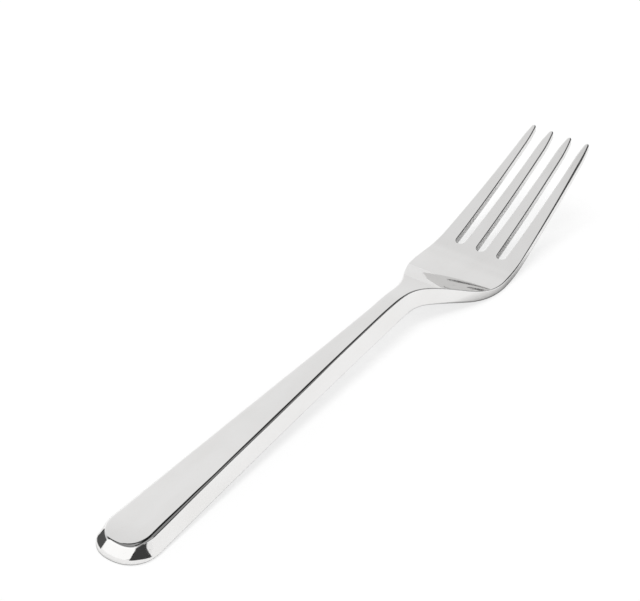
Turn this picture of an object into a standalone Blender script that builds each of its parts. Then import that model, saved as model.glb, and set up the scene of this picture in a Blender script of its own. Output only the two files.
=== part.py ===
"""Fruit fork: one forging of polished stainless steel.

The fork lies on its tail and on the belly of its head, tines towards +X and up, its left side
towards +Y. It is modelled in seven sections that meet face to face: the handle, the neck, the head
and four tines. The sections are regions of one piece of metal, so the planes between them are not
seams. Lengths are in metres.
"""
import math

import bmesh
import bpy

# Lengths along the fork, one after the other from the tail to the tips
HANDLE_LENGTH = 0.0983
WAIST_LENGTH = 0.0084
SHOULDER_LENGTH = 0.0175
PALM_LENGTH = 0.0118
TINE_LENGTH = 0.0340

# Full widths of the outline at its corners, and how softly the corners turn
TAIL_WIDTH = 0.01525
WAIST_WIDTH = 0.0059
SHOULDER_WIDTH = 0.0233
TIP_SPREAD = 0.0163
WAIST_BLEND = 0.0035
SHOULDER_BLEND = 0.0056
TAIL_CAP_LENGTH = 0.0075
TAIL_SQUARENESS = 2.27

# Side profile of the top face: a straight rise, the neck bend, the bowl and the tines
HANDLE_RISE = math.radians(3.05)
NECK_BEND_RADIUS = 0.0343
NECK_DROP = math.radians(24.65)
BOWL_RADIUS = 0.0251
TINE_RISE = math.radians(20.1)
TINE_CURVE_RADIUS = 0.300

# Thickness, measured upright
TAIL_THICKNESS = 0.00405
NECK_THICKNESS = 0.0043
HEAD_THICKNESS = 0.00195
TIP_THICKNESS = 0.0015
THINNING_LENGTH = 0.0200

# The flanks lean in towards the top, and the long edges are eased
TAIL_LEAN = 0.00165
TAIL_END_LEAN = 0.0007
NECK_LEAN = 0.0016
LEAN_FADE_LENGTH = 0.0320
TAIL_EDGE = 0.0009
NECK_EDGE = 0.0004
TINE_EDGE = 0.0002
FOOT_EDGE = 0.0006
TINE_FOOT_EDGE = 0.0003
EDGE_SHARE = 0.7

# Tines and the slots between them
TINE_COUNT = 4
SLOT_ROOT_WIDTH = 0.00192
SLOT_TIP_WIDTH = 0.00315
SLOT_ROOT_PITCH = 0.00567
SLOT_TIP_PITCH = 0.00515
TIP_TAPER_LENGTH = 0.0060
TIP_WIDTH = 0.0009

# Fineness of the mesh
EDGE_STEPS = 3
CAP_STEPS = 12
TIP_STEPS = 4
HANDLE_STEP = 0.0061
BEND_STEP = 0.0012
TINE_STEP = 0.0026
BELLY_SAMPLES = 200
CUTTER_SIDES = 24
CUTTER_REACH = 0.0030
MERGE_DISTANCE = 1e-6
SHARP_ANGLE = math.radians(20)

STEEL_COLOUR = (0.80, 0.79, 0.78, 1.0)
STEEL_ROUGHNESS = 0.10

# Stations along X, counted from the tail end
WAIST = HANDLE_LENGTH + WAIST_LENGTH
SHOULDER = WAIST + SHOULDER_LENGTH
SLOT_ROOT = SHOULDER + PALM_LENGTH
TIP = SLOT_ROOT + TINE_LENGTH
TINE_START = SLOT_ROOT + SLOT_ROOT_WIDTH / 2
TAPER_START = TIP - TIP_TAPER_LENGTH
TIP_CENTRE = TIP - TIP_WIDTH / 2


def mix(a, b, share):
    return a + (b - a) * share


def between(x, start, end):
    """Share of the way from start to end, held to 0 and 1."""
    return min(max((x - start) / (end - start), 0.0), 1.0)


def eased(share):
    return share * share * (3 - 2 * share)


def stations_between(start, end, longest):
    """Even stations from start to end, no further apart than the longest step."""
    count = max(1, math.ceil((end - start) / longest))
    return [mix(start, end, step / count) for step in range(count + 1)]


def bend_at(x, corner, blend, slope):
    """A line that leaves zero at the corner with this slope, turned softly within the blend."""
    along = x - corner
    if abs(along) >= blend:
        return slope * max(along, 0.0)
    return slope * (along + blend) ** 2 / (4 * blend)


def half_width(x):
    """Half of the outline's width: taper to the waist, flare to the shoulder, close in to the tips."""
    taper = (WAIST_WIDTH - TAIL_WIDTH) / 2 / WAIST
    flare = (SHOULDER_WIDTH - WAIST_WIDTH) / 2 / SHOULDER_LENGTH
    closing = (TIP_SPREAD - SHOULDER_WIDTH) / 2 / (TIP - SHOULDER)
    at_waist = bend_at(x, WAIST, WAIST_BLEND, flare - taper)
    at_shoulder = bend_at(x, SHOULDER, SHOULDER_BLEND, closing - flare)
    return TAIL_WIDTH / 2 + taper * x + at_waist + at_shoulder


# The neck bend, the straight drop behind it and the bowl follow each other tangentially. The drop is
# as long as it takes to bring the belly of the head down to the level of the tail.
CREST_HEIGHT = TAIL_THICKNESS + HANDLE_LENGTH * math.tan(HANDLE_RISE)
BEND_LENGTH = NECK_BEND_RADIUS * (math.sin(HANDLE_RISE) + math.sin(NECK_DROP))
BEND_FALL = NECK_BEND_RADIUS * (math.cos(HANDLE_RISE) - math.cos(NECK_DROP))
BOWL_FALL = BOWL_RADIUS * (1 - math.cos(NECK_DROP))
DROP_FALL = CREST_HEIGHT - BEND_FALL - BOWL_FALL - HEAD_THICKNESS
BEND_END = HANDLE_LENGTH + BEND_LENGTH
BOWL_START = BEND_END + DROP_FALL / math.tan(NECK_DROP)
VALLEY = BOWL_START + BOWL_RADIUS * math.sin(NECK_DROP)
BOWL_END = VALLEY + BOWL_RADIUS * math.sin(TINE_RISE)


def profile_height(x):
    """Height of the top face, before the fork is set down on the floor."""
    if x < HANDLE_LENGTH:
        return TAIL_THICKNESS + x * math.tan(HANDLE_RISE)
    if x < BEND_END:
        sine = math.sin(HANDLE_RISE) - (x - HANDLE_LENGTH) / NECK_BEND_RADIUS
        return CREST_HEIGHT + NECK_BEND_RADIUS * (math.sqrt(1 - sine * sine) - math.cos(HANDLE_RISE))
    if x < BOWL_START:
        return CREST_HEIGHT - BEND_FALL - (x - BEND_END) * math.tan(NECK_DROP)
    if x < BOWL_END:
        sine = (x - VALLEY) / BOWL_RADIUS
        return HEAD_THICKNESS + BOWL_RADIUS * (1 - math.sqrt(1 - sine * sine))
    root_height = HEAD_THICKNESS + BOWL_RADIUS * (1 - math.cos(TINE_RISE))
    along = x - BOWL_END
    sine = math.sin(TINE_RISE) + along / TINE_CURVE_RADIUS
    return root_height + TINE_CURVE_RADIUS * (math.cos(TINE_RISE) - math.sqrt(1 - sine * sine))


def thickness(x):
    """Upright thickness: nearly even to the neck, thinner down into the bowl, thinnest at the tips."""
    handle = mix(TAIL_THICKNESS, NECK_THICKNESS, between(x, 0, HANDLE_LENGTH))
    head = mix(HEAD_THICKNESS, TIP_THICKNESS, between(x, VALLEY, TIP))
    return mix(handle, head, eased(between(x, VALLEY - THINNING_LENGTH, VALLEY)))


def belly_height():
    """Lowest point of the head's underside, before the fork is set down on the floor."""
    stations = [mix(BEND_END, BOWL_END, step / BELLY_SAMPLES) for step in range(BELLY_SAMPLES + 1)]
    return min(profile_height(x) - thickness(x) for x in stations)


FLOOR_LEVEL = min(belly_height(), 0.0)
CENTRE_X = TIP / 2


def place(x, y, z):
    """From tail-end coordinates to the fork's own frame, with its origin at the middle of its footprint."""
    return (x - CENTRE_X, y, z - FLOOR_LEVEL)


def rounding(start, corner, end):
    """Points from start to end round a corner, on the curve that leaves and meets both sides smoothly."""
    points = []
    for step in range(EDGE_STEPS + 1):
        share = step / EDGE_STEPS
        first = [mix(a, b, share) for a, b in zip(start, corner)]
        second = [mix(a, b, share) for a, b in zip(corner, end)]
        points.append(tuple(mix(a, b, share) for a, b in zip(first, second)))
    return points


def side_levels(x, lean=None):
    """One side of the section at x, from the underside up: how far in from the outline, and how high."""
    head_share = eased(between(x, SHOULDER - LEAN_FADE_LENGTH, SHOULDER))
    if lean is None:
        lean = mix(TAIL_LEAN, NECK_LEAN, between(x, 0, HANDLE_LENGTH)) * (1 - head_share)
    edge = mix(mix(TAIL_EDGE, NECK_EDGE, between(x, 0, HANDLE_LENGTH)), TINE_EDGE, head_share)
    foot = mix(FOOT_EDGE, TINE_FOOT_EDGE, head_share)
    top = profile_height(x)
    height = thickness(x)
    bottom = top - height
    low = rounding((foot, bottom), (0.0, bottom), (lean * foot / height, bottom + foot))
    high = rounding((lean * (1 - edge / height), top - edge), (lean, top), (lean + edge, top))
    return low + high


def limited(inset, half):
    """An eased edge takes no more than its share of half the width that it is on."""
    return min(inset, EDGE_SHARE * half)


def section_ring(x, right, left):
    """Closed ring of points round the section at x, between its right and left outline."""
    half = (left - right) / 2
    levels = [(limited(inset, half), z) for inset, z in side_levels(x)]
    up = [place(x, right + inset, z) for inset, z in levels]
    down = [place(x, left - inset, z) for inset, z in reversed(levels)]
    return up + down


def body_ring(x):
    return section_ring(x, -half_width(x), half_width(x))


def tail_rings():
    """Rings round the tail's end, from its middle outwards, each level on its own rounded outline."""
    widest = half_width(TAIL_CAP_LENGTH)
    sides = side_levels(TAIL_CAP_LENGTH)
    ends = side_levels(TAIL_CAP_LENGTH, TAIL_END_LEAN)
    rings = []
    for step in range(CAP_STEPS):
        angle = math.pi / 2 * step / CAP_STEPS
        forward = math.cos(angle) ** (2 / TAIL_SQUARENESS)
        aside = math.sin(angle) ** (2 / TAIL_SQUARENESS)
        right = []
        for level, (side_inset, _) in enumerate(sides):
            end_inset = ends[level][0]
            x = TAIL_CAP_LENGTH - (TAIL_CAP_LENGTH - end_inset) * forward
            z = side_levels(x)[level][1]
            right.append((x, -(widest - side_inset) * aside, z))
        left = [(x, -y, z) for x, y, z in reversed(right)]
        rings.append([place(*point) for point in right + left])
    return rings


def tine_sides(number, x):
    """Right and left outline of a tine at x; tine 1 is on the left, towards +Y."""
    share = (x - TINE_START) / (TAPER_START - TINE_START)
    pitch = mix(SLOT_ROOT_PITCH, SLOT_TIP_PITCH, share)
    slot = mix(SLOT_ROOT_WIDTH, SLOT_TIP_WIDTH, share)
    middle = (TINE_COUNT - 1) / 2 - (number - 1)
    right = (middle - 0.5) * pitch + slot / 2
    left = (middle + 0.5) * pitch - slot / 2
    if number == TINE_COUNT:
        right = -half_width(x)
    if number == 1:
        left = half_width(x)
    return right, left


def tine_rings(number):
    """Rings of a tine from the head to its taper, along the taper, and round its blunt point."""
    rings = []
    for x in stations_between(TINE_START, TAPER_START, TINE_STEP):
        rings.append(section_ring(x, *tine_sides(number, x)))
    right, left = tine_sides(number, TAPER_START)
    middle = (right + left) / 2
    drift = (sum(tine_sides(number, TIP)) / 2 - middle) / (TIP - TAPER_START)
    for x in stations_between(TAPER_START, TIP_CENTRE, TINE_STEP)[1:]:
        half = mix(left - right, TIP_WIDTH, (x - TAPER_START) / (TIP_CENTRE - TAPER_START)) / 2
        centre = middle + drift * (x - TAPER_START)
        rings.append(section_ring(x, centre - half, centre + half))
    point = middle + drift * (TIP_CENTRE - TAPER_START)
    for step in range(1, TIP_STEPS + 1):
        angle = math.pi / 2 * step / TIP_STEPS
        up = []
        down = []
        for level, (inset, _) in enumerate(side_levels(TIP_CENTRE)):
            radius = TIP_WIDTH / 2 - limited(inset, TIP_WIDTH / 2)
            x = TIP_CENTRE + radius * math.sin(angle)
            z = side_levels(x)[level][1]
            up.append(place(x, point - radius * math.cos(angle), z))
            down.append(place(x, point + radius * math.cos(angle), z))
        rings.append(up + down[::-1])
    return rings


def make_object(name, mesh, collection):
    thing = bpy.data.objects.new(name, mesh)
    collection.objects.link(thing)
    return thing


def loft(name, rings, collection):
    """A closed solid through the rings. A ring whose two sides meet in a line closes its own end."""
    mesh = bpy.data.meshes.new(name)
    shape = bmesh.new()
    loops = [[shape.verts.new(point) for point in ring] for ring in rings]
    for near, far in zip(loops, loops[1:]):
        for index in range(len(near)):
            after = (index + 1) % len(near)
            shape.faces.new((near[index], near[after], far[after], far[index]))
    for ring, loop in ((rings[0], loops[0]), (rings[-1], loops[-1])):
        if max(y for _, y, _ in ring) - min(y for _, y, _ in ring) > MERGE_DISTANCE:
            shape.faces.new(loop)
    bmesh.ops.remove_doubles(shape, verts=shape.verts, dist=MERGE_DISTANCE)
    bmesh.ops.recalc_face_normals(shape, faces=shape.faces)
    shape.to_mesh(mesh)
    shape.free()
    mesh.shade_smooth()
    mesh.set_sharp_from_angle(angle=SHARP_ANGLE)
    thing = make_object(name, mesh, collection)
    thing.data.materials.append(bpy.data.materials["polished_steel"])
    return thing


def cut_slot_root(head, slot, cutters):
    """Round root of the slot with this number, cut out of the head by an upright cylinder."""
    shape = bmesh.new()
    bmesh.ops.create_cone(shape, cap_ends=True, segments=CUTTER_SIDES, radius1=SLOT_ROOT_WIDTH / 2,
                          radius2=SLOT_ROOT_WIDTH / 2, depth=HEAD_THICKNESS + 2 * CUTTER_REACH)
    mesh = bpy.data.meshes.new(f"slot_root_cutter_{slot}")
    shape.to_mesh(mesh)
    shape.free()
    cutter = make_object(mesh.name, mesh, cutters)
    aside = (TINE_COUNT / 2 - slot) * SLOT_ROOT_PITCH
    middle = profile_height(TINE_START) - HEAD_THICKNESS / 2
    cutter.location = place(TINE_START, aside, middle)
    cutter.hide_render = True
    cutter.display_type = 'WIRE'
    cut = head.modifiers.new(cutter.name, 'BOOLEAN')
    cut.operation = 'DIFFERENCE'
    cut.object = cutter


def make_steel():
    steel = bpy.data.materials.new("polished_steel")
    steel.use_nodes = True
    shader = steel.node_tree.nodes["Principled BSDF"]
    shader.inputs["Base Color"].default_value = STEEL_COLOUR
    shader.inputs["Metallic"].default_value = 1.0
    shader.inputs["Roughness"].default_value = STEEL_ROUGHNESS


for old in list(bpy.data.objects):
    bpy.data.objects.remove(old)

fork = bpy.data.collections.new("fruit_fork")
bpy.context.scene.collection.children.link(fork)
slot_cutters = bpy.data.collections.new("slot_cutters")
bpy.context.scene.collection.children.link(slot_cutters)
make_steel()

handle_stations = stations_between(TAIL_CAP_LENGTH, HANDLE_LENGTH, HANDLE_STEP)
loft("handle", tail_rings() + [body_ring(x) for x in handle_stations], fork)

neck_stations = stations_between(HANDLE_LENGTH, BEND_END, BEND_STEP)
loft("neck", [body_ring(x) for x in neck_stations], fork)

head_stations = stations_between(BEND_END, TINE_START, BEND_STEP)
fork_head = loft("head", [body_ring(x) for x in head_stations], fork)
for slot_number in range(1, TINE_COUNT):
    cut_slot_root(fork_head, slot_number, slot_cutters)

for tine_number in range(1, TINE_COUNT + 1):
    loft(f"tine_{tine_number}", tine_rings(tine_number), fork)
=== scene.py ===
import math

import bmesh
import bpy
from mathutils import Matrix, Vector


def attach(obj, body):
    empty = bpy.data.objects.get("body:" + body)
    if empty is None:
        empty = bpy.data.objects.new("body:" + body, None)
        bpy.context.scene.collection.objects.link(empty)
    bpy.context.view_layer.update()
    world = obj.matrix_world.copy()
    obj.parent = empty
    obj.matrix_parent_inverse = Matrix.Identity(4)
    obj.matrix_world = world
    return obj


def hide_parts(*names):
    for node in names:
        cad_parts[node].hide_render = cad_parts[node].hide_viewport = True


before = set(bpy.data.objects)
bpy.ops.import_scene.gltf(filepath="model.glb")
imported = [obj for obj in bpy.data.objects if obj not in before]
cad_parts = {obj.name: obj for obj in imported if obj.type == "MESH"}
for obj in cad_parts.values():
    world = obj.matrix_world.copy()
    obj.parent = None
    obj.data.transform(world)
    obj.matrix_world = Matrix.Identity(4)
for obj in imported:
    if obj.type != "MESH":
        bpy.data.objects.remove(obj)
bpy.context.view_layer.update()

# The fork's blank. The real fork is one forging of stainless steel, with no joint from tail to tips,
# and its outline is stamped from plate. A disc is pulled into that outline and cut across in strips.
# Lengths are in metres, and run from the tail's end to the tips.
HANDLE_END = 0.0983
WAIST = 0.1067
SHOULDER = 0.1242
SLOT_ROOT = 0.1355
TIP = 0.1700
TAIL_WIDTH = 0.01525
WAIST_WIDTH = 0.0059
SHOULDER_WIDTH = 0.0233
TIP_SPREAD = 0.01656
HANDLE_HOLLOW = 0.00036
WAIST_SOFTNESS = 0.0035
SHOULDER_SOFTNESS = 0.0056
TAIL_CAP = 0.0075
TAIL_SQUARENESS = 2.27
TINES = 4
SLOT_WIDTH_AT_ROOT = 0.00225
SLOT_WIDTH_AT_TIP = 0.00282
SLOT_PITCH_AT_ROOT = 0.00567
SLOT_PITCH_AT_TIP = 0.00515
SLOT_START = SLOT_ROOT + SLOT_WIDTH_AT_ROOT / 2
TAPER_LENGTH = 0.0060
TAPER_START = TIP - TAPER_LENGTH
TIP_RADIUS = 0.00060
TIP_BLUNTNESS = 2.0
TIP_CENTRE = TIP - TIP_RADIUS

# How finely the outline is divided: turns of its round ends, and the longest strip of each stretch.
CAP_STEPS = 28
ROOT_STEPS = 8
TIP_STEPS = 12
HANDLE_STRIP = 0.0025
NECK_STRIP = 0.0008
HEAD_STRIP = 0.0007
TINE_STRIP = 0.0015
TAPER_STRIP = 0.0008
NECK_STRIPS_START = HANDLE_END - 0.010
HEAD_STRIPS_START = SHOULDER - 0.012
CUT_TOLERANCE = 1e-6


def mix(a, b, share):
    return a + (b - a) * share


def share_of(x, start, end):
    return min(max((x - start) / (end - start), 0.0), 1.0)


def eased(share):
    return share * share * (3 - 2 * share)


def even_stations(start, end, longest):
    count = math.ceil((end - start) / longest)
    return [mix(start, end, step / count) for step in range(count)]


def soft_corner(x, corner, softness, slope):
    """A line that is level up to the corner and then climbs, with the corner rounded."""
    along = x - corner
    if abs(along) >= softness:
        return slope * max(along, 0.0)
    return slope * (along + softness) ** 2 / (4 * softness)


def half_width(x):
    taper = (WAIST_WIDTH - TAIL_WIDTH) / 2 / WAIST
    flare = (SHOULDER_WIDTH - WAIST_WIDTH) / 2 / (SHOULDER - WAIST)
    closing = (TIP_SPREAD - SHOULDER_WIDTH) / 2 / (TIP - SHOULDER)
    turns = soft_corner(x, WAIST, WAIST_SOFTNESS, flare - taper)
    turns += soft_corner(x, SHOULDER, SHOULDER_SOFTNESS, closing - flare)
    along = share_of(x, 0, HANDLE_END)
    return TAIL_WIDTH / 2 + taper * x + turns - HANDLE_HOLLOW * 4 * along * (1 - along)


def straight_tine(number, x):
    share = (x - SLOT_START) / (TAPER_START - SLOT_START)
    pitch = mix(SLOT_PITCH_AT_ROOT, SLOT_PITCH_AT_TIP, share)
    slot = mix(SLOT_WIDTH_AT_ROOT, SLOT_WIDTH_AT_TIP, share)
    middle = (TINES - 1) / 2 - number
    right = -half_width(x) if number == TINES - 1 else (middle - 0.5) * pitch + slot / 2
    left = half_width(x) if number == 0 else (middle + 0.5) * pitch - slot / 2
    return right, left


def tine_sides(number, x):
    """Right and left outline of a tine, which tapers to its blunt point; tine 0 is on the left."""
    if x <= TAPER_START:
        return straight_tine(number, x)
    right, left = straight_tine(number, TAPER_START)
    share = share_of(x, TAPER_START, TIP_CENTRE)
    centre = mix((right + left) / 2, sum(straight_tine(number, TIP)) / 2, share)
    half = mix((left - right) / 2, TIP_RADIUS, share ** TIP_BLUNTNESS)
    return centre - half, centre + half


root_turns = [math.pi / 2 * step / ROOT_STEPS for step in range(ROOT_STEPS + 1)]
root_stations = [SLOT_START - SLOT_WIDTH_AT_ROOT / 2 * math.cos(turn) for turn in root_turns]
tine_stations = even_stations(SLOT_START, TAPER_START, TINE_STRIP)[1:]
tine_stations += even_stations(TAPER_START, TIP_CENTRE, TAPER_STRIP) + [TIP_CENTRE]
body_stations = even_stations(TAIL_CAP, NECK_STRIPS_START, HANDLE_STRIP)
body_stations += even_stations(NECK_STRIPS_START, HEAD_STRIPS_START, NECK_STRIP)
body_stations += even_stations(HEAD_STRIPS_START, root_stations[0], HEAD_STRIP)
side_stations = body_stations + root_stations + tine_stations

# Each stop of the outline: its place, the way that the metal lies from there, and 1 if it is in a slot.
right_side = []
for step in range(CAP_STEPS):
    turn = math.pi / 2 * step / CAP_STEPS
    forward = math.cos(turn) ** (2 / TAIL_SQUARENESS)
    aside = math.sin(turn) ** (2 / TAIL_SQUARENESS)
    right_side.append((TAIL_CAP * (1 - forward), -half_width(TAIL_CAP) * aside, forward, aside, 0.0))
for x in side_stations:
    y = tine_sides(TINES - 1, x)[0] if x > SLOT_START else -half_width(x)
    right_side.append((x, y, 0.0, 1.0, 0.0))

outline = list(right_side)
for number in reversed(range(TINES)):
    centre = sum(tine_sides(number, TIP_CENTRE)) / 2
    for step in range(1, TIP_STEPS):
        turn = math.pi * step / TIP_STEPS
        across, along = -math.cos(turn), math.sin(turn)
        outline.append((TIP_CENTRE + TIP_RADIUS * along, centre + TIP_RADIUS * across, -along, -across, 0.0))
    if number == 0:
        break
    for x in reversed(tine_stations):
        outline.append((x, tine_sides(number, x)[1], 0.0, -1.0, 1.0))
    middle = (TINES / 2 - number) * SLOT_PITCH_AT_ROOT
    for turn in [-turn for turn in reversed(root_turns)] + root_turns[1:]:
        back, across = -math.cos(turn), math.sin(turn)
        radius = SLOT_WIDTH_AT_ROOT / 2
        outline.append((SLOT_START + radius * back, middle + radius * across, back, across, 1.0))
    for x in tine_stations:
        outline.append((x, tine_sides(number - 1, x)[0], 0.0, 1.0, 1.0))
for x, y, inward_x, inward_y, slot in reversed(right_side[1:]):
    outline.append((x, -y, inward_x, -inward_y, slot))

bpy.ops.object.select_all(action='DESELECT')
bpy.ops.mesh.primitive_circle_add(vertices=len(outline), radius=TIP / 2, fill_type='NGON')
fork = bpy.context.object
fork.name = "fork"
fork.data.name = "fork"
bpy.ops.object.mode_set(mode='EDIT')
shape = bmesh.from_edit_mesh(fork.data)
stop_number = shape.verts.layers.int.new("stop")
shape.verts.layers.float.new("edge_wear")
shape.verts.layers.float.new("slot_wall")
for number, corner in enumerate(shape.verts):
    corner[stop_number] = number
    corner.co = (outline[number][0], outline[number][1], 0.0)
bmesh.update_edit_mesh(fork.data)
for x in sorted({round(stop[0], 9) for stop in right_side[1:]}):
    bpy.ops.mesh.select_all(action='SELECT')
    bpy.ops.mesh.bisect(plane_co=(x, 0, 0), plane_no=(1, 0, 0), threshold=CUT_TOLERANCE)

# The forging. The blank is pressed to its side profile, in which the handle rises to the neck, drops
# into the bowl and rises again to the tips. The flanks are ground to a lean that runs out in the head,
# and every long edge is eased. Here it is raised from its underside to its top face, level by level.
HANDLE_RISE = math.radians(3.05)
NECK_RADIUS = 0.0343
NECK_DROP = math.radians(24.65)
BOWL_RADIUS = 0.0251
TINE_RISE = math.radians(20.1)
TINE_RADIUS = 0.300
TAIL_THICKNESS = 0.00405
NECK_THICKNESS = 0.0043
HEAD_THICKNESS = 0.00195
TIP_THICKNESS = 0.0015
THINNING = 0.0200
TAIL_DIP = 0.00035
TAIL_DIP_LENGTH = 0.0090
LEAN_FADE = 0.0320
BAND_SOFTNESS = 0.45
SLOT_EDGE = 0.00025
FOOT_WEAR = 0.5

# Each table gives places along the fork and the value at each. Between two places the value eases over.
LEANS = ((0.0, 0.00188), (0.0025, 0.00188), (0.0075, 0.00172), (0.020, 0.00164), (0.032, 0.00152),
         (0.050, 0.00138), (0.062, 0.00140), (0.078, 0.00154), (0.098, 0.00157), (0.110, 0.00154))
BANDS = ((0.0, 0.00115), (0.0020, 0.00115), (0.0062, 0.0), (0.170, 0.0))
CROWNS = ((0.0, 0.30), (0.0020, 0.30), (0.0075, 0.0), (0.170, 0.0))
EASED_EDGES = ((0.0, 0.00050), (0.003, 0.00052), (0.008, 0.00070), (0.012, 0.00070), (0.020, 0.00057),
               (0.032, 0.00046), (0.050, 0.00039), (0.062, 0.00034), (0.078, 0.00024), (0.098, 0.00021),
               (0.115, 0.00027), (0.140, 0.00025), (0.152, 0.00034), (0.165, 0.00046), (0.1695, 0.00030),
               (0.170, 0.00030))
EDGE_REACHES = ((0.0, 1.0), (0.030, 1.0), (0.055, 1.5), (0.075, 1.8), (0.100, 1.8), (0.115, 1.0),
                (0.170, 1.0))
FOOT_EDGES = ((0.0, 0.0003), (0.085, 0.0003), (0.103, 0.0005), (0.122, 0.0006), (0.140, 0.0004),
              (0.170, 0.0003))
# How strongly the slot walls are marked, for their stamped finish and for the painted shade that darkens
# them: full at the roots, less towards the tips.
SLOT_FINISH_AND_SHADE = ((0.0, 1.0), (0.138, 1.0), (0.147, 0.65), (0.156, 0.45), (0.170, 0.35))

# How the levels are spaced: steps round each edge, shares of the wall between the edges, a narrow flat
# strip inside the edges, and the most of a narrow tine's half width that its edges may take.
EDGE_STEPS = 7
FOOT_STEPS = 4
WALL_SHARES = (0.05, 0.15, 0.22, 0.29, 0.36, 0.43, 0.50, 0.95)
FLAT_STRIP = 0.00015
EDGE_SHARE = 0.7
LIFT = 0.0001

CREST = TAIL_THICKNESS + HANDLE_END * math.tan(HANDLE_RISE)
BEND_FALL = NECK_RADIUS * (math.cos(HANDLE_RISE) - math.cos(NECK_DROP))
BEND_END = HANDLE_END + NECK_RADIUS * (math.sin(HANDLE_RISE) + math.sin(NECK_DROP))
BOWL_FALL = BOWL_RADIUS * (1 - math.cos(NECK_DROP))
DROP_FALL = CREST - BEND_FALL - BOWL_FALL - HEAD_THICKNESS
BOWL_START = BEND_END + DROP_FALL / math.tan(NECK_DROP)
VALLEY = BOWL_START + BOWL_RADIUS * math.sin(NECK_DROP)
BOWL_END = VALLEY + BOWL_RADIUS * math.sin(TINE_RISE)


def tail_dip(x):
    return TAIL_DIP * (1 - share_of(x, 0, TAIL_DIP_LENGTH)) ** 2


def top_height(x):
    if x < HANDLE_END:
        return TAIL_THICKNESS + x * math.tan(HANDLE_RISE) - tail_dip(x)
    if x < BEND_END:
        sine = math.sin(HANDLE_RISE) - (x - HANDLE_END) / NECK_RADIUS
        return CREST + NECK_RADIUS * (math.sqrt(1 - sine * sine) - math.cos(HANDLE_RISE))
    if x < BOWL_START:
        return CREST - BEND_FALL - (x - BEND_END) * math.tan(NECK_DROP)
    if x < BOWL_END:
        sine = (x - VALLEY) / BOWL_RADIUS
        return HEAD_THICKNESS + BOWL_RADIUS * (1 - math.sqrt(1 - sine * sine))
    sine = math.sin(TINE_RISE) + (x - BOWL_END) / TINE_RADIUS
    tine = TINE_RADIUS * (math.cos(TINE_RISE) - math.sqrt(1 - sine * sine))
    return HEAD_THICKNESS + BOWL_RADIUS * (1 - math.cos(TINE_RISE)) + tine


def thickness(x):
    handle = mix(TAIL_THICKNESS, NECK_THICKNESS, share_of(x, 0, HANDLE_END)) - tail_dip(x)
    head = mix(HEAD_THICKNESS, TIP_THICKNESS, share_of(x, VALLEY, TIP))
    return mix(handle, head, eased(share_of(x, VALLEY - THINNING, VALLEY)))


def read_off(table, x):
    for (start, low), (end, high) in zip(table, table[1:]):
        if x <= end:
            return mix(low, high, eased(share_of(x, start, end)))
    return table[-1][1]


def rounded(start, corner, end, steps):
    points = []
    for step in range(steps + 1):
        share = step / steps
        first = [mix(a, b, share) for a, b in zip(start, corner)]
        second = [mix(a, b, share) for a, b in zip(corner, end)]
        points.append(tuple(mix(a, b, share) for a, b in zip(first, second)))
    return points


def side_levels(x, in_slot=0.0):
    """One side of the section at x, from the underside up: how far in, how high, how worn, wall or not."""
    head_share = eased(share_of(x, SHOULDER - LEAN_FADE, SHOULDER))
    lean = read_off(LEANS, x) * (1 - head_share)
    height = thickness(x)
    edge = mix(read_off(EASED_EDGES, x), SLOT_EDGE, in_slot)
    reach = edge * read_off(EDGE_REACHES, x)
    foot = read_off(FOOT_EDGES, x)
    band = read_off(BANDS, x)
    crown = read_off(CROWNS, x)
    wall = []
    for share in (0.0,) + WALL_SHARES + (1.0,):
        up = mix(foot, height - edge, share)
        risen = soft_corner(up, band, band * BAND_SOFTNESS, 1 / (height - band))
        wall.append((lean * mix(risen, risen * risen, crown), up))
    low = rounded((foot, 0.0), (0.0, 0.0), wall[0], FOOT_STEPS)
    run = (wall[-1][0] - wall[-2][0]) / (wall[-1][1] - wall[-2][1])
    corner = wall[-1][0] + run * edge
    high = rounded(wall[-1], (corner, height), (corner + reach, height), EDGE_STEPS)
    levels = [(foot + FLAT_STRIP, 0.0, 0.0, 0.0)]
    levels += [(inset, up, FOOT_WEAR, 1.0) for inset, up in low]
    levels += [(inset, up, 0.0, 1.0) for inset, up in wall[1:-1]]
    for step, (inset, up) in enumerate(high):
        levels.append((inset, up, 1.0, max(1 - 2 * step / EDGE_STEPS, 0.0)))
    levels.append((corner + reach + FLAT_STRIP, height, 0.0, 0.0))
    return levels


def room_for_edges(x):
    """Half of what is between the two outlines at x, most of which the eased edges may take."""
    if x <= SLOT_START:
        return half_width(x)
    right, left = tine_sides(1, min(x, TIP_CENTRE))
    return (left - right) / 2


def lay_level(level):
    shape = bmesh.from_edit_mesh(fork.data)
    stops = shape.verts.layers.int["stop"]
    wear = shape.verts.layers.float["edge_wear"]
    walls = shape.verts.layers.float["slot_wall"]
    for corner in shape.verts:
        if not corner.select:
            continue
        x, y, inward_x, inward_y, slot = outline[corner[stops]]
        most = max(side_level[0] for side_level in side_levels(x, slot))
        fit = min(1.0, EDGE_SHARE * room_for_edges(x) / most) if x > SHOULDER else 1.0
        inset = side_levels(x, slot)[level][0] * fit
        x += inward_x * inset
        _, up, worn, wall = side_levels(x, slot)[level]
        corner.co = (x - TIP / 2, y + inward_y * inset, top_height(x) - thickness(x) + up)
        corner[wear] = worn
        # The slot walls' mark carries both their stamped finish and their painted shade.
        corner[walls] = slot * wall * read_off(SLOT_FINISH_AND_SHADE, x)
    bmesh.update_edit_mesh(fork.data)


bpy.ops.mesh.select_all(action='SELECT')
lay_level(0)
for level in range(1, len(side_levels(0.0))):
    bpy.ops.mesh.extrude_region_move(TRANSFORM_OT_translate={"value": (0, 0, LIFT)})
    lay_level(level)
bpy.ops.mesh.select_all(action='SELECT')
bpy.ops.mesh.normals_make_consistent(inside=False)
bpy.ops.object.mode_set(mode='OBJECT')
bpy.ops.object.shade_smooth()
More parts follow.
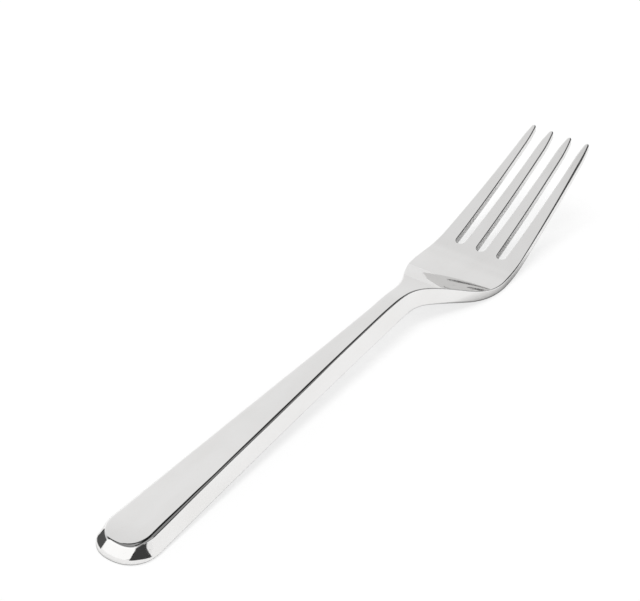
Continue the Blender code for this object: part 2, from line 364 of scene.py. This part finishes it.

# Its finish is a mirror polish along the fork, with faint haze and hairlines. The edges are rubbed a
# little brighter, and the walls of the slots are left as they were stamped, duller towards the roots,
# and darkened by painted shade, most at the roots.
MIRROR_STEEL = (0.815, 0.81, 0.805, 1)
HAZED_STEEL = (0.79, 0.783, 0.775, 1)
WORN_STEEL = (0.835, 0.832, 0.83, 1)
STAMPED_STEEL_WITH_PAINTED_SHADE = (0.68, 0.675, 0.67, 1)
STEEL_GLINT = (0.9, 0.9, 0.9, 1)
MIRROR_ROUGHNESS = 0.04
HAZED_ROUGHNESS = 0.062
POLISH_ROUGHNESS = 0.012
HAIRLINE_ROUGHNESS = 0.10
WORN_ROUGHNESS = 0.03
STAMPED_ROUGHNESS = 0.20
CUT_ROUGHNESS = 0.25
HAIRLINE_WIDTH = 0.004
POLISH_HEIGHT = 0.04
HAIRLINE_HEIGHT = -0.5
CUT_HEIGHT = 0.04
RELIEF_STRENGTH = 0.25
RELIEF_DEPTH = 0.00001

steel = bpy.data.materials.new("polished_steel")
steel.use_nodes = True
nodes = steel.node_tree.nodes
links = steel.node_tree.links
steel_shader = nodes["Principled BSDF"]
steel_shader.inputs["Metallic"].default_value = 1.0
steel_shader.inputs["Specular Tint"].default_value = STEEL_GLINT
on_the_fork = nodes.new("ShaderNodeTexCoord").outputs["Object"]


def streaks(per_metre, detail, distortion=0.0):
    """Noise with so many marks to the metre along, across and up the fork."""
    stretched = nodes.new("ShaderNodeMapping")
    stretched.inputs["Scale"].default_value = per_metre
    links.new(on_the_fork, stretched.inputs["Vector"])
    noise = nodes.new("ShaderNodeTexNoise")
    noise.inputs["Scale"].default_value = 1.0
    noise.inputs["Detail"].default_value = detail
    noise.inputs["Distortion"].default_value = distortion
    links.new(stretched.outputs[0], noise.inputs["Vector"])
    return noise.outputs["Fac"]


def spread(value, low, high, first=0.0, last=1.0):
    """The value's range from low to high, spread evenly over another range."""
    ramp = nodes.new("ShaderNodeMapRange")
    ramp.inputs["From Min"].default_value = low
    ramp.inputs["From Max"].default_value = high
    ramp.inputs["To Min"].default_value = first
    ramp.inputs["To Max"].default_value = last
    links.new(value, ramp.inputs["Value"])
    return ramp.outputs["Result"]


def combined(operation, a, b):
    calculation = nodes.new("ShaderNodeMath")
    calculation.operation = operation
    for socket, value in zip(calculation.inputs, (a, b)):
        if isinstance(value, float):
            socket.default_value = value
        else:
            links.new(value, socket)
    return calculation.outputs[0]


def tinted(base, mask, colour):
    layer = nodes.new("ShaderNodeMix")
    layer.data_type = 'RGBA'
    links.new(mask, layer.inputs["Factor"])
    if isinstance(base, tuple):
        layer.inputs["A"].default_value = base
    else:
        links.new(base, layer.inputs["A"])
    layer.inputs["B"].default_value = colour
    return layer.outputs["Result"]


def marked(attribute):
    mark = nodes.new("ShaderNodeAttribute")
    mark.attribute_name = attribute
    return mark.outputs["Fac"]


polish = streaks(per_metre=(60, 6500, 6500), detail=2.0)
haze = spread(streaks(per_metre=(75, 140, 140), detail=4.0, distortion=0.4), low=0.38, high=0.68)
hairline = combined('SUBTRACT', streaks(per_metre=(130, 420, 420), detail=1.0, distortion=0.8), 0.5)
hairline = spread(combined('ABSOLUTE', hairline, 0.0), low=0.0, high=HAIRLINE_WIDTH, first=1.0, last=0.0)
hairline_places = spread(streaks(per_metre=(300, 300, 300), detail=2.0), low=0.52, high=0.62)
hairline = combined('MULTIPLY', hairline, hairline_places)
rubbed = spread(streaks(per_metre=(500, 900, 900), detail=3.0), low=0.40, high=0.65, first=0.2)
worn = combined('MULTIPLY', marked("edge_wear"), rubbed)
stamped_and_shaded = marked("slot_wall")
cut_marks = spread(streaks(per_metre=(9000, 900, 400), detail=2.0), low=0.35, high=0.65)

steel_colour = tinted(MIRROR_STEEL, haze, HAZED_STEEL)
steel_colour = tinted(steel_colour, worn, WORN_STEEL)
# Painted shade: the walls of the slots are darker, most at the roots.
steel_colour = tinted(steel_colour, stamped_and_shaded, STAMPED_STEEL_WITH_PAINTED_SHADE)
links.new(steel_colour, steel_shader.inputs["Base Color"])

roughness = spread(haze, low=0.0, high=1.0, first=MIRROR_ROUGHNESS, last=HAZED_ROUGHNESS)
roughness = combined('ADD', roughness, spread(polish, low=0.35, high=0.65, last=POLISH_ROUGHNESS))
roughness = combined('ADD', roughness, combined('MULTIPLY', hairline, HAIRLINE_ROUGHNESS))
roughness = combined('ADD', roughness, combined('MULTIPLY', worn, WORN_ROUGHNESS))
cut_roughness = spread(cut_marks, low=0.0, high=1.0, first=STAMPED_ROUGHNESS, last=CUT_ROUGHNESS)
roughness = combined('ADD', roughness, combined('MULTIPLY', stamped_and_shaded, cut_roughness))
links.new(roughness, steel_shader.inputs["Roughness"])

relief = combined('MULTIPLY', polish, POLISH_HEIGHT)
relief = combined('ADD', relief, combined('MULTIPLY', hairline, HAIRLINE_HEIGHT))
cut_relief = combined('MULTIPLY', combined('MULTIPLY', stamped_and_shaded, cut_marks), CUT_HEIGHT)
relief = combined('ADD', relief, cut_relief)
steel_relief = nodes.new("ShaderNodeBump")
steel_relief.inputs["Strength"].default_value = RELIEF_STRENGTH
steel_relief.inputs["Distance"].default_value = RELIEF_DEPTH
links.new(relief, steel_relief.inputs["Height"])
links.new(steel_relief.outputs[0], steel_shader.inputs["Normal"])
fork.data.materials.append(steel)

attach(fork, "root")
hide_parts("handle", "neck", "head", "tine_1", "tine_2", "tine_3", "tine_4")

# The table top that the fork lies on: a wide, plain white sheet. It keeps the fork's soft shadow, and
# part of its white is its own, so that the sheet runs on into a white background. Only in the steel
# does it carry painted shade: darker close under the fork, and a little darker past the far end.
FLOOR_SIZE = 6.0
PAPER_WHITE = 0.90
FAR_WHITE = 0.84
OWN_WHITE_SHARE = 0.78
SHADE_REACH = 0.0055

# Each pair is where a soft step of the sheet's painted shade starts and where it is full: first by place
# along and across the fork, and then by how open the sheet is to the room above it.
FAR_END_ALONG = (0.035, 0.055)
FAR_END_ACROSS = (-0.005, 0.02)
SLOTS_ALONG = (0.02, 0.04)
HEAD_ALONG = (0.0, 0.03)
HEAD_ACROSS = (-0.005, -0.009)
OPEN_BY_HANDLE = (0.30, 0.85)
OPEN_BY_SLOTS = (0.20, 0.62)

bpy.ops.object.select_all(action='DESELECT')
bpy.ops.mesh.primitive_plane_add(size=FLOOR_SIZE)
floor = bpy.context.object
floor.name = "floor"
paper = bpy.data.materials.new("white_paper")
paper.use_nodes = True
nodes = paper.node_tree.nodes
links = paper.node_tree.links
nodes.clear()
paper_out = nodes.new("ShaderNodeOutputMaterial")
lit_paper = nodes.new("ShaderNodeBsdfDiffuse")
own_white = nodes.new("ShaderNodeEmission")
paper_mix = nodes.new("ShaderNodeMixShader")
path = nodes.new("ShaderNodeLightPath")
seen_share = nodes.new("ShaderNodeMath")
seen_share.operation = 'MULTIPLY'
seen_share.inputs[1].default_value = OWN_WHITE_SHARE
links.new(path.outputs["Is Camera Ray"], seen_share.inputs[0])
links.new(seen_share.outputs[0], paper_mix.inputs["Fac"])
links.new(lit_paper.outputs[0], paper_mix.inputs[1])
links.new(own_white.outputs[0], paper_mix.inputs[2])
links.new(paper_mix.outputs[0], paper_out.inputs["Surface"])
place = nodes.new("ShaderNodeSeparateXYZ")
links.new(nodes.new("ShaderNodeTexCoord").outputs["Object"], place.inputs[0])
along_fork = place.outputs["X"]
across_fork = place.outputs["Y"]


def step_between(value, start, end):
    """0 before the start, 1 past the end, and a soft step between; the end may be the lower one."""
    ramp = nodes.new("ShaderNodeMapRange")
    ramp.interpolation_type = 'SMOOTHSTEP'
    ramp.inputs["From Min"].default_value = start
    ramp.inputs["From Max"].default_value = end
    links.new(value, ramp.inputs["Value"])
    return ramp.outputs["Result"]


def times(a, b):
    product = nodes.new("ShaderNodeMath")
    product.operation = 'MULTIPLY'
    links.new(a, product.inputs[0])
    links.new(b, product.inputs[1])
    return product.outputs[0]


def over(base, mask, brightness):
    """The base, with the brightness laid over it where the mask is 1."""
    layer = nodes.new("ShaderNodeMix")
    layer.data_type = 'FLOAT'
    links.new(mask, layer.inputs["Factor"])
    if isinstance(base, float):
        layer.inputs["A"].default_value = base
    else:
        links.new(base, layer.inputs["A"])
    if isinstance(brightness, float):
        layer.inputs["B"].default_value = brightness
    else:
        links.new(brightness, layer.inputs["B"])
    return layer.outputs["Result"]


far_end = times(step_between(along_fork, *FAR_END_ALONG), step_between(across_fork, *FAR_END_ACROSS))
by_slots = step_between(along_fork, *SLOTS_ALONG)
by_head = times(step_between(along_fork, *HEAD_ALONG), step_between(across_fork, *HEAD_ACROSS))
hidden = nodes.new("ShaderNodeAmbientOcclusion")
hidden.inputs["Distance"].default_value = SHADE_REACH
open_share = hidden.outputs["AO"]
# Painted shade: for the steel's rays only, the sheet's colour is darkened where it lies hidden under the
# fork.
painted_shade_under_fork = step_between(open_share, *OPEN_BY_HANDLE)
painted_shade_under_fork = over(painted_shade_under_fork, by_slots, step_between(open_share, *OPEN_BY_SLOTS))
painted_shade_under_fork = over(painted_shade_under_fork, by_head, times(open_share, open_share))
mirrored_paper = times(over(PAPER_WHITE, far_end, FAR_WHITE), painted_shade_under_fork)
paper_white = over(PAPER_WHITE, path.outputs["Is Glossy Ray"], mirrored_paper)
links.new(paper_white, lit_paper.inputs["Color"])
floor.data.materials.append(paper)

# The studio. The camera sees a white background, and the sheet gets an even soft light. The steel
# mirrors a pale room with a backdrop behind the fork, a bright soft box past its tail, a white card low
# at its right, and dark panels, strips and black flags high up and between them.
EVEN_LIGHT = 0.45
WHITE = 1.0
PALE_WALLS = 0.78
DIM_CEILING = 0.36
BACKDROP_TOP = 0.84
BACKDROP_MIDDLE = 0.915
BACKDROP_FOOT = 1.17
BACKDROP_PATCH = 0.945
studio = bpy.data.worlds.new("studio")
bpy.context.scene.world = studio
studio.use_nodes = True
nodes = studio.node_tree.nodes
links = studio.node_tree.links
nodes.clear()
direction = nodes.new("ShaderNodeTexCoord").outputs["Generated"]
split = nodes.new("ShaderNodeSeparateXYZ")
links.new(direction, split.inputs[0])
height_of_ray = split.outputs["Z"]


def pointing(azimuth, elevation):
    """The direction at an azimuth, from the tips round to the fork's left, and an elevation, in degrees."""
    turn, climb = math.radians(azimuth), math.radians(elevation)
    level = math.cos(climb)
    return Vector((level * math.cos(turn), level * math.sin(turn), math.sin(climb)))


def facing(way):
    """How nearly each ray points the given way: 1 for the same way, 0 for square to it."""
    product = nodes.new("ShaderNodeVectorMath")
    product.operation = 'DOT_PRODUCT'
    product.inputs[1].default_value = way
    links.new(direction, product.inputs[0])
    return product.outputs["Value"]


def beside(first, second, softness):
    """1 for rays at the left of the straight edge from the first point up to the second.

    A point is an azimuth and an elevation, in degrees."""
    square = pointing(*second).cross(pointing(*first)).normalized()
    reach = math.sin(math.radians(softness))
    return step_between(facing(square), -reach, reach)


def around(azimuth, elevation, half_angle, softness):
    """1 for rays within the angle of one direction, all in degrees."""
    outer = math.cos(math.radians(half_angle + softness))
    inner = math.cos(math.radians(half_angle - softness))
    return step_between(facing(pointing(azimuth, elevation)), outer, inner)


def above(elevation, softness):
    """1 for rays that climb more than the elevation, in degrees."""
    low = math.sin(math.radians(elevation - softness))
    high = math.sin(math.radians(elevation + softness))
    return step_between(height_of_ray, low, high)


def below(elevation, softness):
    """1 for rays that climb less than the elevation, in degrees."""
    low = math.sin(math.radians(elevation - softness))
    high = math.sin(math.radians(elevation + softness))
    return step_between(height_of_ray, high, low)


def panel(right_edge, left_edge, top, softness):
    """1 for rays between two edges and below a height: what a flat panel covers, seen from the fork."""
    between = times(beside(*right_edge, softness), beside(*reversed(left_edge), softness))
    return times(between, below(top, softness))


def upright_panel(right, left, top, softness):
    """A panel whose edges stand upright, each at its azimuth."""
    return panel(((right, 0), (right, 60)), ((left, 0), (left, 60)), top, softness)


tail_panel = times(upright_panel(right=100, left=222, top=64, softness=3), above(40, softness=3))
right_panel = times(upright_panel(right=225, left=300, top=54, softness=3), above(29, softness=3))
high_panel = times(upright_panel(right=222, left=338, top=67, softness=3), above(51, softness=2))
round_panel = around(-32, 42, half_angle=22, softness=4)
left_flag = around(75, 76, half_angle=12, softness=3)
right_flag = around(-40, 70, half_angle=14, softness=4)
front_flag = around(14, 53, half_angle=19.2, softness=3.5)
tall_strip = times(beside((-62, 10), (-72, 64), softness=3), beside((-92, 64), (-80, 10), softness=3))
tall_strip = times(tall_strip, times(above(30, softness=4), below(85, softness=3)))
low_strip = upright_panel(right=-57, left=-43, top=60, softness=2)
low_strip = times(low_strip, beside((-84, 34), (-40, 22), softness=7))
corner_strip = upright_panel(right=-87, left=-57, top=60, softness=2)
corner_strip = times(corner_strip, beside((-84, 30), (-44, 14), softness=3))
white_card = times(beside((-74, 2), (-83, 18), softness=0.8), beside((-84, 22), (-44, 3), softness=0.8))
white_card = times(white_card, beside((-30, 40), (-30, 0), softness=3))
low_flag = around(-21, 1, half_angle=11, softness=3)
backdrop = panel(((22, 10), (33, 42)), ((80, 5), (104, 60)), top=66, softness=2.5)
backdrop_foot = times(beside((34, 0), (34, 40), softness=4), below(22, softness=14))
backdrop_patch = times(upright_panel(right=39, left=54, top=45, softness=4), above(34, softness=4))
soft_box = panel(((122, 0), (122, 40)), ((202, 12), (246, 42)), top=43, softness=2.5)

backdrop_light = over(BACKDROP_TOP, below(42, softness=13), BACKDROP_MIDDLE)
backdrop_light = over(backdrop_light, backdrop_foot, BACKDROP_FOOT)
backdrop_light = over(backdrop_light, backdrop_patch, BACKDROP_PATCH)
room = over(PALE_WALLS, above(62, softness=4), DIM_CEILING)
for covered, brightness in ((tail_panel, 0.26), (right_panel, 0.38), (high_panel, 0.03), (round_panel, 0.27),
                            (left_flag, 0.01), (right_flag, 0.01), (front_flag, 0.01), (tall_strip, 0.02),
                            (low_strip, 0.04), (corner_strip, 0.04), (white_card, WHITE), (low_flag, 0.03),
                            (backdrop, backdrop_light), (soft_box, 1.2)):
    room = over(room, covered, brightness)
path = nodes.new("ShaderNodeLightPath")
room = over(room, path.outputs["Is Diffuse Ray"], EVEN_LIGHT)
room = over(room, path.outputs["Is Camera Ray"], WHITE)
background = nodes.new("ShaderNodeBackground")
background.inputs["Color"].default_value = (1, 1, 1, 1)
links.new(room, background.inputs["Strength"])
world_out = nodes.new("ShaderNodeOutputWorld")
links.new(background.outputs[0], world_out.inputs["Surface"])

# Two small dark cards that stand beside the tail and are seen only in the steel: its round corners
# mirror them, and so stand out from the white sheet. The right one is cut to the shape of its
# reflection. Each corner of a card is given by how far it is aside from the card's foot, and how high.
RIGHT_CARD = ((-0.0145, 0.0), (-0.0137, 0.0049), (-0.0118, 0.0108), (-0.0085, 0.0122), (-0.0030, 0.0136),
              (0.0047, 0.0147), (0.0075, 0.0150), (0.0100, 0.0115), (0.0122, 0.0079), (0.0161, 0.0043),
              (0.0191, 0.0020), (0.0205, 0.0))
RIGHT_CARD_FOOT = (-0.0885, -0.0186)
RIGHT_CARD_FACING = math.radians(243)
RIGHT_CARD_GLOW = 0.055
LEFT_CARD = ((-0.0050, 0.0), (-0.0050, 0.0065), (0.0037, 0.0065), (0.0037, 0.0))
LEFT_CARD_FOOT = (-0.0850, 0.0105)
LEFT_CARD_FACING = math.radians(90)
LEFT_CARD_GLOW = 0.095
CARD_BLANK_RADIUS = 0.02
for name, corners, foot, turn, glow in (
        ("right_card", RIGHT_CARD, RIGHT_CARD_FOOT, RIGHT_CARD_FACING, RIGHT_CARD_GLOW),
        ("left_card", LEFT_CARD, LEFT_CARD_FOOT, LEFT_CARD_FACING, LEFT_CARD_GLOW)):
    bpy.ops.object.select_all(action='DESELECT')
    bpy.ops.mesh.primitive_circle_add(vertices=len(corners), radius=CARD_BLANK_RADIUS, fill_type='NGON')
    shade_card = bpy.context.object
    shade_card.name = name
    across = Vector((-math.sin(turn), math.cos(turn)))
    for corner, (aside, up) in zip(shade_card.data.vertices, corners):
        corner.co = (foot[0] + aside * across.x, foot[1] + aside * across.y, up)
    card_dark = bpy.data.materials.new(name)
    card_dark.use_nodes = True
    nodes = card_dark.node_tree.nodes
    links = card_dark.node_tree.links
    nodes.clear()
    card_face = nodes.new("ShaderNodeEmission")
    card_face.inputs["Strength"].default_value = glow
    card_out = nodes.new("ShaderNodeOutputMaterial")
    links.new(card_face.outputs[0], card_out.inputs["Surface"])
    shade_card.data.materials.append(card_dark)
    shade_card.visible_camera = False
    shade_card.visible_diffuse = False
    shade_card.visible_shadow = False

# The key light: a very wide soft lamp almost straight above, a little to the fork's left. It throws
# the faint shadow on the sheet, and the steel doesn't mirror it.
KEY_DIRECTION = Vector((0.0, 0.05, 1.0))
KEY_STRENGTH = 2.2
KEY_WIDTH = math.radians(40)
bpy.ops.object.light_add(type='SUN', location=KEY_DIRECTION)
key = bpy.context.object
key.name = "key_light"
key.data.energy = KEY_STRENGTH
key.data.angle = KEY_WIDTH
key.rotation_euler = KEY_DIRECTION.to_track_quat('Z', 'Y').to_euler()
key.visible_glossy = False

# The camera, level, at the photograph's viewing angle. Its focal length is measured in the
# photograph's pixels.
CAMERA_AZIMUTH = math.radians(-54.126)
CAMERA_ELEVATION = math.radians(34.399)
CAMERA_DISTANCE = 0.66441
LOOK_AT = Vector((-0.006777, 0.004057, 0.018964))
FOCAL_PIXELS = 3063
PHOTO_WIDTH = 640
SENSOR_WIDTH = 36.0
NEAREST = 0.01
back = Vector((math.sin(CAMERA_AZIMUTH) * math.cos(CAMERA_ELEVATION),
               -math.cos(CAMERA_AZIMUTH) * math.cos(CAMERA_ELEVATION),
               math.sin(CAMERA_ELEVATION)))
bpy.ops.object.camera_add(location=LOOK_AT + back * CAMERA_DISTANCE)
camera = bpy.context.object
camera.rotation_euler = back.to_track_quat('Z', 'Y').to_euler()
camera.data.sensor_width = SENSOR_WIDTH
camera.data.lens = FOCAL_PIXELS / PHOTO_WIDTH * SENSOR_WIDTH
camera.data.clip_start = NEAREST
bpy.context.scene.camera = camera
bpy.context.scene.view_settings.view_transform = 'Standard'
